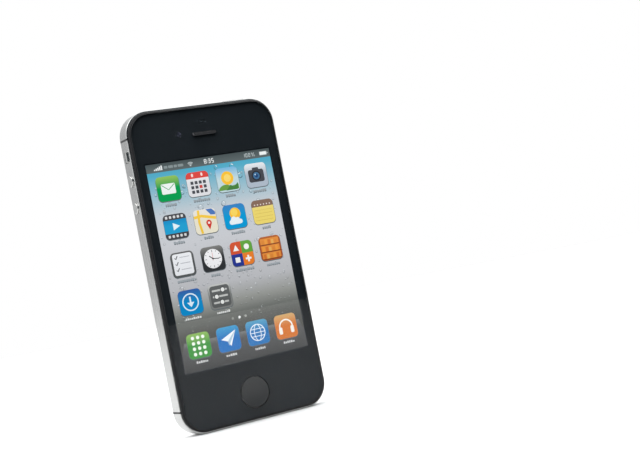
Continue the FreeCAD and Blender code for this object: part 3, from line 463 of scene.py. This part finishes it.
# Each row: how many, the span of heights, the span of sizes, and the colour of the dark side.
RAIN = ((30, 24, 125, 2.4, 6.4, (44, 78, 94)), (130, 40, 300, 1.0, 3.0, (112, 120, 128)),
        (120, 230, 392, 0.9, 2.6, (84, 86, 84)), (16, 120, 330, 2.6, 4.6, (140, 146, 152)))
GLINT = (238, 243, 246)
OUTLINED_FROM = 2.2
SIDE_MARGIN = 5
rain = random.Random(7)
drops = Picture("screen_rain_drops")
for count, low_y, high_y, small, large, color in RAIN:
    for _ in range(count):
        x = rain.uniform(SIDE_MARGIN, POINTS_WIDE - SIDE_MARGIN)
        y = rain.uniform(low_y, high_y)
        size = rain.uniform(small, large)
        start = rain.uniform(20, 80)
        tall = size * rain.uniform(1.0, 1.25)
        if size > OUTLINED_FROM:
            faint = tuple((value + 190) // 2 for value in color)
            drops.stroke(circle(x, y, size, tall, steps=12), 0.7, paint(faint), 2, closed=True)
        lower = circle(x, y, size, tall, start, rain.uniform(80, 140), 8)
        upper = circle(x, y, size * 0.6, tall * 0.6, start + 180, 90, 4)
        drops.stroke(lower, size * 0.2 + 0.5, paint(color), 2)
        drops.stroke(upper, size * 0.22 + 0.2, paint(GLINT), 2)
drops.done()

# ---- status bar

bar_grey = lit("lit_status_bar", (0.0, (96, 107, 108)), (1.0, (74, 84, 86)))
WHITE = (236, 240, 240)
FADED = (188, 198, 200)
BAR_TALL = 20
status = Picture("screen_status_bar")
status.plate(box_points(0, 0, POINTS_WIDE, BAR_TALL), bar_grey, 3)
# signal strength, four blocks in place of a network name, and radio waves
for number in range(5):
    tall = 3 + 1.9 * number
    status.plate(box_points(19 + 4.4 * number, 15.5 - tall, 3.2, tall), paint(WHITE), 4)
for x, wide in ((44, 9), (55, 12), (69, 8), (79, 14)):
    status.plate(rounded(x, 7.5, wide, 6, 1.5), paint((132, 144, 146)), 4)
for radius in (3.0, 6.0, 9.0):
    status.stroke(circle(111, 16, radius, start=225, turn=90, steps=8), 1.6, paint(FADED), 4)
status.plate(circle(111, 15, 1.6, steps=10), paint(FADED), 4)

# Strokes of a figure as x0, y0, x1, y1 on a grid one wide and two tall.
SEGMENTS = {"a": (0, 0, 1, 0), "b": (1, 0, 1, 1), "c": (1, 1, 1, 2), "d": (0, 2, 1, 2),
            "e": (0, 1, 0, 2), "f": (0, 0, 0, 1), "g": (0, 1, 1, 1)}
DIGITS = {"0": "abcdef", "1": "bc", "3": "abgcd", "5": "afgcd", "8": "abcdefg"}


def digit(figure, x, y, wide, tall, line, color):
    """A plain figure on the status bar, made of straight strokes."""
    for name in DIGITS[figure]:
        x0, y0, x1, y1 = SEGMENTS[name]
        start = (x + x0 * wide, y + y0 * tall / 2)
        end = (x + x1 * wide, y + y1 * tall / 2)
        status.stroke([start, end], line, paint(color), 4)


# clock, per cent and battery
for figure, x in (("8", 147), ("3", 157.5), ("5", 166)):
    digit(figure, x, 5.5, 4.6, 9, 1.5, WHITE)
for y in (8, 12.2):
    status.plate(circle(154.2, y, 0.9, steps=8), paint(WHITE), 4)
for figure, x in (("1", 249), ("0", 256), ("0", 263.2)):
    digit(figure, x, 6, 3.8, 8, 1.3, FADED)
status.stroke([(278, 5.6), (272, 14.4)], 1.2, paint(FADED), 4)
for x, y in ((272.2, 7.4), (277.8, 12.6)):
    status.stroke(circle(x, y, 1.6, steps=10), 0.9, paint(FADED), 5, closed=True)
status.plate(rounded(292, 5.5, 20, 9.5, 1.6), paint((150, 160, 162)), 4)
status.plate(rounded(293.2, 6.7, 17.6, 7.1, 1.0), paint((238, 242, 242)), 5)
status.plate(rounded(312.4, 8.4, 2.2, 3.6, 0.8), paint((200, 206, 208)), 4)
status.done()


# ---- icons: generic pictures on rounded tiles

TILE = 57
MID = TILE / 2
TILE_CORNER = 9.5
COLUMN = 76
ROW = 88
LEFT_MARGIN = 17
TOP_MARGIN = 31
SHADOW = (96, 104, 108)
TOP_ROUND = (True, True, False, False)


def tile(name, x, y, bottom, top):
    """A rounded tile with a grey rim behind it; returns the picture to draw on."""
    picture = Picture(name, x, y)
    ground = lit("lit_" + name, (0.0, bottom), (0.55, bottom), (1.0, top))
    picture.plate(rounded(-0.8, 0.6, TILE + 1.6, TILE + 1.4, TILE_CORNER + 0.8),
                  paint(SHADOW), 2)
    picture.plate(rounded(0, 0, TILE, TILE, TILE_CORNER), ground, 3)
    return picture


def envelope(name, x, y):
    picture = tile(name, x, y, (2, 158, 80), (150, 196, 96))
    picture.plate(rounded(11, 17, 35, 24, 3), paint((236, 242, 240)), 4)
    picture.stroke([(12.5, 19), (MID, 31.5), (44.5, 19)], 2.0, paint((90, 168, 110)), 5)
    return picture


def calendar(name, x, y):
    picture = tile(name, x, y, (226, 226, 230), (246, 246, 248))
    picture.plate(rounded(0, 0, TILE, 15, TILE_CORNER, TOP_ROUND), paint((214, 66, 58)), 4)
    for across in range(2):
        picture.plate(rounded(14 + across * 24, 3, 5, 8, 2.4), paint((244, 214, 210)), 5)
    for row in range(3):
        for across in range(4):
            picture.plate(rounded(9 + across * 10.6, 21 + row * 10.6, 7.4, 7.4, 1.2),
                          paint((72, 74, 80)), 4)
    picture.plate(rounded(30.2, 31.6, 7.4, 7.4, 1.2), paint((200, 70, 62)), 5)
    return picture


def landscape(name, x, y):
    picture = tile(name, x, y, (196, 220, 226), (120, 184, 224))
    picture.plate(circle(28, 25, 16, steps=24), paint((246, 190, 52)), 4)
    picture.plate(circle(28, 25, 9, steps=20), paint((250, 214, 110)), 5)
    hill = [(3, 53)] + circle(20, 56, 20, 16, 195, 120, 10) + [(54, 42), (54, 53)]
    picture.plate(hill, paint((104, 156, 70)), 5)
    picture.plate([(20, 54), (33, 42), (42, 47), (53, 38), (53, 50), (50, 54)],
                  paint((70, 128, 62)), 6)
    return picture


def camera_body(name, x, y):
    picture = tile(name, x, y, (176, 188, 202), (238, 240, 243))
    picture.plate(rounded(8, 15, 41, 30, 5), paint((66, 68, 74)), 4)
    picture.plate(rounded(20, 10, 17, 8, 2.5), paint((66, 68, 74)), 4)
    picture.plate(circle(MID, 30, 12, steps=28), paint((40, 42, 48)), 5)
    picture.plate(circle(MID, 30, 8.6, steps=24), paint((62, 108, 150)), 6)
    picture.plate(circle(MID, 30, 4.4, steps=20), paint((30, 62, 110)), 7)
    picture.plate(circle(26, 27, 1.8, steps=12), paint((190, 220, 240)), 8)
    return picture


def film(name, x, y):
    picture = tile(name, x, y, (34, 160, 210), (10, 120, 190))
    for top in (0, 44):
        corners = (top == 0, top == 0, top > 0, top > 0)
        picture.plate(rounded(0, top, TILE, 13, TILE_CORNER, corners), paint((64, 64, 68)), 4)
        for across in range(5):
            picture.plate(rounded(6 + across * 9.8, top + 3.5, 5.6, 6, 1.2),
                          paint((214, 216, 216)), 5)
    picture.plate([(22, 20), (39, MID), (22, 37)], paint((226, 240, 246)), 4)
    return picture


def street_map(name, x, y):
    picture = tile(name, x, y, (234, 228, 206), (236, 232, 226))
    road = paint((240, 196, 64))
    picture.stroke([(0.5, 17), (20, 15), (56, 24)], 6.5, road, 4)
    picture.stroke([(14, 1), (12, 30), (16, 56)], 6.0, road, 5)
    picture.plate([(33, 1), (48, 1), (56, 9), (56, 16), (44, 15)], paint((70, 112, 180)), 5)
    picture.plate(circle(36, 33, 7, start=150, turn=240, steps=16) + [(36, 49)],
                  paint((206, 56, 44)), 6)
    picture.plate(circle(36, 33, 2.8, steps=14), paint((250, 236, 230)), 7)
    return picture


def weather(name, x, y):
    picture = tile(name, x, y, (4, 154, 214), (60, 130, 196))
    picture.plate(circle(30, 22, 14, steps=26), paint((244, 186, 44)), 4)
    picture.plate(circle(28, 19, 9, steps=20), paint((250, 210, 90)), 5)
    cloud = paint((232, 240, 244))
    picture.plate(rounded(12, 36, 34, 11, 5.4), cloud, 6)
    picture.plate(circle(24, 36, 7.5, steps=18), cloud, 7)
    picture.plate(circle(34, 37, 6, steps=18), cloud, 8)
    return picture


def notepad(name, x, y):
    picture = tile(name, x, y, (238, 216, 112), (244, 226, 146))
    picture.plate(rounded(0, 0, TILE, 16, TILE_CORNER, TOP_ROUND), paint((128, 100, 84)), 4)
    for line in range(4):
        picture.stroke([(5, 24 + line * 8), (52, 24 + line * 8)], 0.9, paint((206, 178, 84)), 4)
    for across in range(6):
        picture.plate(circle(8.5 + across * 8, 11, 1.7, steps=10), paint((226, 214, 206)), 5)
    return picture


def task_list(name, x, y):
    picture = tile(name, x, y, (82, 84, 84), (104, 104, 104))
    picture.plate(rounded(4.5, 3.5, 48, 49, 5), paint((228, 230, 234)), 4)
    for row in range(3):
        y0 = 12 + row * 14
        picture.stroke([(10, y0), (12.6, y0 + 3.4), (17.4, y0 - 4)], 2.2, paint((58, 60, 64)), 5)
        picture.stroke([(22, y0), (47, y0)], 1.8, paint((176, 178, 184)), 5)
    return picture


def clock_face(name, x, y):
    picture = tile(name, x, y, (46, 48, 50), (130, 130, 128))
    picture.plate(circle(MID, MID, 22.5, steps=40), paint((236, 236, 238)), 4)
    for hour in range(12):
        angle = math.radians(hour * 30)
        near, far = (17.5, 20.5) if hour % 3 else (15.5, 20.5)
        ends = [(MID + r * math.sin(angle), MID - r * math.cos(angle)) for r in (near, far)]
        picture.stroke(ends, 1.4, paint((70, 72, 76)), 5)
    picture.stroke([(MID, MID), (20, 21.5)], 2.2, paint((44, 44, 48)), 5)
    picture.stroke([(26, 28.3), (44, 30)], 1.8, paint((44, 44, 48)), 6)
    picture.stroke([(28, 33), (28.8, 14)], 0.9, paint((200, 60, 50)), 7)
    picture.plate(circle(MID, MID, 2.0, steps=14), paint((44, 44, 48)), 8)
    return picture


def four_fields(name, x, y):
    picture = tile(name, x, y, (220, 120, 40), (214, 90, 44))
    for column, row, color in ((0, 0, (204, 78, 44)), (1, 0, (92, 158, 56)),
                               (0, 1, (36, 52, 140)), (1, 1, (228, 122, 38))):
        corners = tuple((column, row) == spot for spot in ((0, 0), (1, 0), (1, 1), (0, 1)))
        picture.plate(rounded(column * MID, row * MID, MID, MID, TILE_CORNER, corners),
                      paint(color), 4)
    white = paint((240, 240, 238))
    picture.plate([(14.5, 7), (22, 21), (7, 21)], white, 5)
    picture.plate(circle(42.5, 14.5, 6.8, steps=20), white, 5)
    picture.plate(box_points(8.5, 36.5, 12, 12), white, 5)
    picture.stroke([(42.5, 35), (42.5, 50)], 4.6, white, 5)
    picture.stroke([(35, 42.5), (50, 42.5)], 4.6, white, 6)
    return picture


def book_shelf(name, x, y):
    picture = tile(name, x, y, (170, 84, 40), (184, 104, 54))
    spines = ((214, 130, 52), (232, 150, 58), (206, 112, 44), (226, 168, 84))
    for row in range(3):
        top = 4.5 + row * 17
        picture.plate(box_points(4, top, 49, 14.5), paint((222, 136, 56)), 4)
        for number in range(5):
            tall = 9.5 + (number * 7 + row * 3) % 4
            picture.plate(box_points(7 + number * 8.6, top + 14.5 - tall, 6.6, tall),
                          paint(spines[(number + row) % 4]), 5)
        picture.plate(box_points(2.5, top + 14, 52, 2.4), paint((128, 66, 34)), 6)
    return picture


def download(name, x, y):
    picture = tile(name, x, y, (6, 134, 196), (52, 92, 164))
    white = paint((214, 230, 242))
    picture.stroke(circle(MID, MID, 19, steps=32), 3.0, white, 4, closed=True)
    picture.stroke([(MID, 16), (MID, 31)], 4.0, white, 5)
    picture.plate([(19.5, 29), (37.5, 29), (MID, 40)], white, 6)
    return picture


def sliders(name, x, y):
    picture = tile(name, x, y, (122, 124, 122), (196, 198, 196))
    picture.plate(rounded(3.5, 3.5, 50, 50, 7.5), paint((88, 90, 90)), 4)
    for row, knob in enumerate((0.72, 0.26, 0.56)):
        y0 = 14.5 + row * 14
        picture.plate(rounded(9, y0 - 2.2, 39, 4.4, 2.2), paint((186, 188, 186)), 5)
        picture.plate(circle(9 + 39 * knob, y0, 6.4, steps=22), paint((48, 50, 50)), 6)
        picture.plate(circle(9 + 39 * knob, y0, 4.8, steps=20), paint((224, 226, 224)), 7)
    return picture


def keypad(name, x, y):
    picture = tile(name, x, y, (58, 150, 58), (146, 190, 96))
    for row in range(4):
        for across in range(3):
            picture.plate(circle(15.5 + across * 13, 10 + row * 12.4, 4.2, steps=16),
                          paint((234, 242, 232)), 4)
    return picture


def paper_plane(name, x, y):
    picture = tile(name, x, y, (20, 112, 190), (62, 158, 208))
    picture.plate([(9, 28), (49, 10), (32, 46), (25, 34)], paint((236, 242, 246)), 4)
    picture.plate([(25, 34), (49, 10), (28, 31), (27, 44)], paint((168, 196, 216)), 5)
    return picture


def globe(name, x, y):
    picture = tile(name, x, y, (32, 116, 186), (88, 164, 200))
    white = paint((226, 238, 246))
    picture.stroke(circle(MID, MID, 19, steps=32), 2.2, white, 4, closed=True)
    picture.stroke(circle(MID, MID, 8.5, 19, steps=28), 1.6, white, 5, closed=True)
    for y0, half in ((20, 17), (MID, 19), (37, 17)):
        picture.stroke([(MID - half, y0), (MID + half, y0)], 1.6, white, 6)
    return picture


def headphones(name, x, y):
    picture = tile(name, x, y, (214, 116, 36), (214, 172, 112))
    white = paint((244, 238, 230))
    picture.stroke(circle(MID, 30, 17, start=180, turn=180, steps=20), 3.6, white, 4)
    for side in (8.5, 39.5):
        picture.plate(rounded(side, 29, 9, 17, 3.6), white, 5)
    return picture


ICONS = ((envelope, calendar, landscape, camera_body), (film, street_map, weather, notepad),
         (task_list, clock_face, four_fields, book_shelf), (download, sliders))
LABEL_WIDTHS = ((30, 40, 26, 32), (26, 24, 34, 22), (44, 26, 48, 36), (40, 32))
DOCK_TOP = 395.5
DOCK_ICONS = (keypad, paper_plane, globe, headphones)
DOCK_LABEL_WIDTH = 28
LABEL_DROP = 62
LABEL_GAP = 1.1
ROWS_ON_PALE = 3

label_rng = random.Random(3)


def label(name, middle, y, wide, color, shadow):
    """A caption shown only as soft blocks, with no letters."""
    picture = Picture(name)
    x = middle - wide / 2
    while x < middle + wide / 2 - 2:
        block = label_rng.uniform(2.6, 5.0)
        tall = label_rng.uniform(5.0, 7.4)
        picture.plate(rounded(x + 0.5, y + 8.2 - tall, block, tall, 1.1), paint(shadow), 2)
        picture.plate(rounded(x, y + 6.6 - tall * 0.8, block, tall * 0.8, 1.0), paint(color), 3)
        x += block + LABEL_GAP
    picture.done()


for row, icons in enumerate(ICONS):
    for column, draw in enumerate(icons):
        x, y = LEFT_MARGIN + COLUMN * column, TOP_MARGIN + ROW * row
        draw("icon_" + draw.__name__, x, y).done()
        pale = (150, 158, 164) if row < ROWS_ON_PALE else (214, 216, 214)
        dark = (92, 100, 106) if row < ROWS_ON_PALE else (72, 74, 72)
        label("label_" + draw.__name__, x + MID, y + LABEL_DROP, LABEL_WIDTHS[row][column],
              pale, dark)

dock = Picture("screen_dock_shelf")
shelf_light = lit("lit_dock_shelf", (0.0, (58, 59, 60)), (0.8, (86, 87, 88)),
                  (1.0, (120, 122, 122)))
dock.plate([(10, 414), (310, 414), (POINTS_WIDE, 440), (POINTS_WIDE, POINTS_TALL),
            (0, POINTS_TALL), (0, 440)], shelf_light, 2)
dock.done()
for column, draw in enumerate(DOCK_ICONS):
    x = LEFT_MARGIN + COLUMN * column
    draw("icon_" + draw.__name__, x, DOCK_TOP).done()
    label("label_" + draw.__name__, x + MID, DOCK_TOP + LABEL_DROP, DOCK_LABEL_WIDTH,
          (200, 202, 202), (44, 45, 46))

DOT_LINE = 380
DOT_RADIUS = 3.1
page_dots = Picture("screen_page_dots")
for x, color in ((141.5, (140, 142, 138)), (159, (240, 240, 240)), (175, (160, 162, 158))):
    page_dots.plate(circle(x, DOT_LINE, DOT_RADIUS, steps=18), paint(color), 3)
page_dots.done()


# ------------------------------------------------------------------ floor, light and camera

FLOOR_RADIUS = 1.6
floor_mesh = bmesh.new()
bmesh.ops.create_circle(floor_mesh, cap_ends=True, radius=FLOOR_RADIUS, segments=96)
floor_data = bpy.data.meshes.new("floor")
floor_mesh.to_mesh(floor_data)
floor_mesh.free()
floor = bpy.data.objects.new("floor", floor_data)
bpy.context.scene.collection.objects.link(floor)
floor_look = Shader("floor_paper", Roughness=0.85)
floor_cloud = floor_look.noise(floor_look.place(), 3.0, 3.0)
floor_look.drive("Base Color", floor_look.ramp(floor_cloud, (0.3, (0.80, 0.80, 0.80, 1)),
                                               (0.7, (0.84, 0.84, 0.835, 1))))
floor_data.materials.append(floor_look.material)

MIDDLE_HEIGHT = 0.0576
# Each row: name, place, the point it looks at, side in metres, power in watts.
LIGHTS = (("key_left", (-0.9, -0.15, 0.7), (0, 0, MIDDLE_HEIGHT), 1.4, 8),
          ("overhead", (0, 0.3, 1.6), (0, 0.3, 0), 3.4, 84))
for name, where, aim, side, power in LIGHTS:
    light = bpy.data.lights.new(name, "AREA")
    light.shape = "SQUARE"
    light.size = side
    light.energy = power
    lamp = bpy.data.objects.new(name, light)
    bpy.context.scene.collection.objects.link(lamp)
    lamp.location = where
    lamp.rotation_euler = (Vector(aim) - Vector(where)).to_track_quat("-Z", "Y").to_euler()

# The backdrop is white. What lights and mirrors in the object is a soft room, dark towards
# the front (-Y) and pale towards the back.
ROOM_FRONT = (0.10, 0.13, 0.15, 1)
ROOM_BACK = (0.72, 0.73, 0.74, 1)
ROOM_STRENGTH = 1.1
world = bpy.data.worlds.new("studio")
bpy.context.scene.world = world
world.use_nodes = True
sky = world.node_tree
ways = add_node(sky, "ShaderNodeTexCoord").outputs["Generated"]
split = add_node(sky, "ShaderNodeSeparateXYZ", Vector=ways)
depth = add_node(sky, "ShaderNodeMapRange", Value=split.outputs["Y"], From_Min=-1.0, From_Max=1.0)
around = sky.nodes["Background"]
around.inputs["Strength"].default_value = ROOM_STRENGTH
sky.links.new(add_ramp(sky, depth.outputs["Result"], (0.20, ROOM_FRONT), (0.62, ROOM_BACK)),
              around.inputs["Color"])
seen = add_node(sky, "ShaderNodeBackground", Color=(1, 1, 1, 1))
paths = add_node(sky, "ShaderNodeLightPath")
both = add_node(sky, "ShaderNodeMixShader", Fac=paths.outputs["Is Camera Ray"])
sky.links.new(around.outputs["Background"], both.inputs[1])
sky.links.new(seen.outputs["Background"], both.inputs[2])
sky.links.new(both.outputs["Shader"], sky.nodes["World Output"].inputs["Surface"])

CAMERA_PLACE = Vector((-0.2009, -0.4248, 0.0509))
CAMERA_AIM = Vector((0.0412, 0.0, 0.0615))
CAMERA_ROLL = math.radians(11.2)
SENSOR_WIDTH = 36.0
FOCAL_LENGTH = 73.1
camera_data = bpy.data.cameras.new("camera")
camera_data.sensor_width = SENSOR_WIDTH
camera_data.lens = FOCAL_LENGTH
camera = bpy.data.objects.new("camera", camera_data)
bpy.context.scene.collection.objects.link(camera)
looking = (CAMERA_AIM - CAMERA_PLACE).to_track_quat("-Z", "Y").to_matrix().to_4x4()
camera.matrix_world = (Matrix.Translation(CAMERA_PLACE) @ looking
                       @ Matrix.Rotation(-CAMERA_ROLL, 4, "Z"))
camera_data.clip_start = 0.01
camera_data.clip_end = 100
bpy.context.scene.camera = camera
bpy.context.scene.view_settings.view_transform = "Standard"
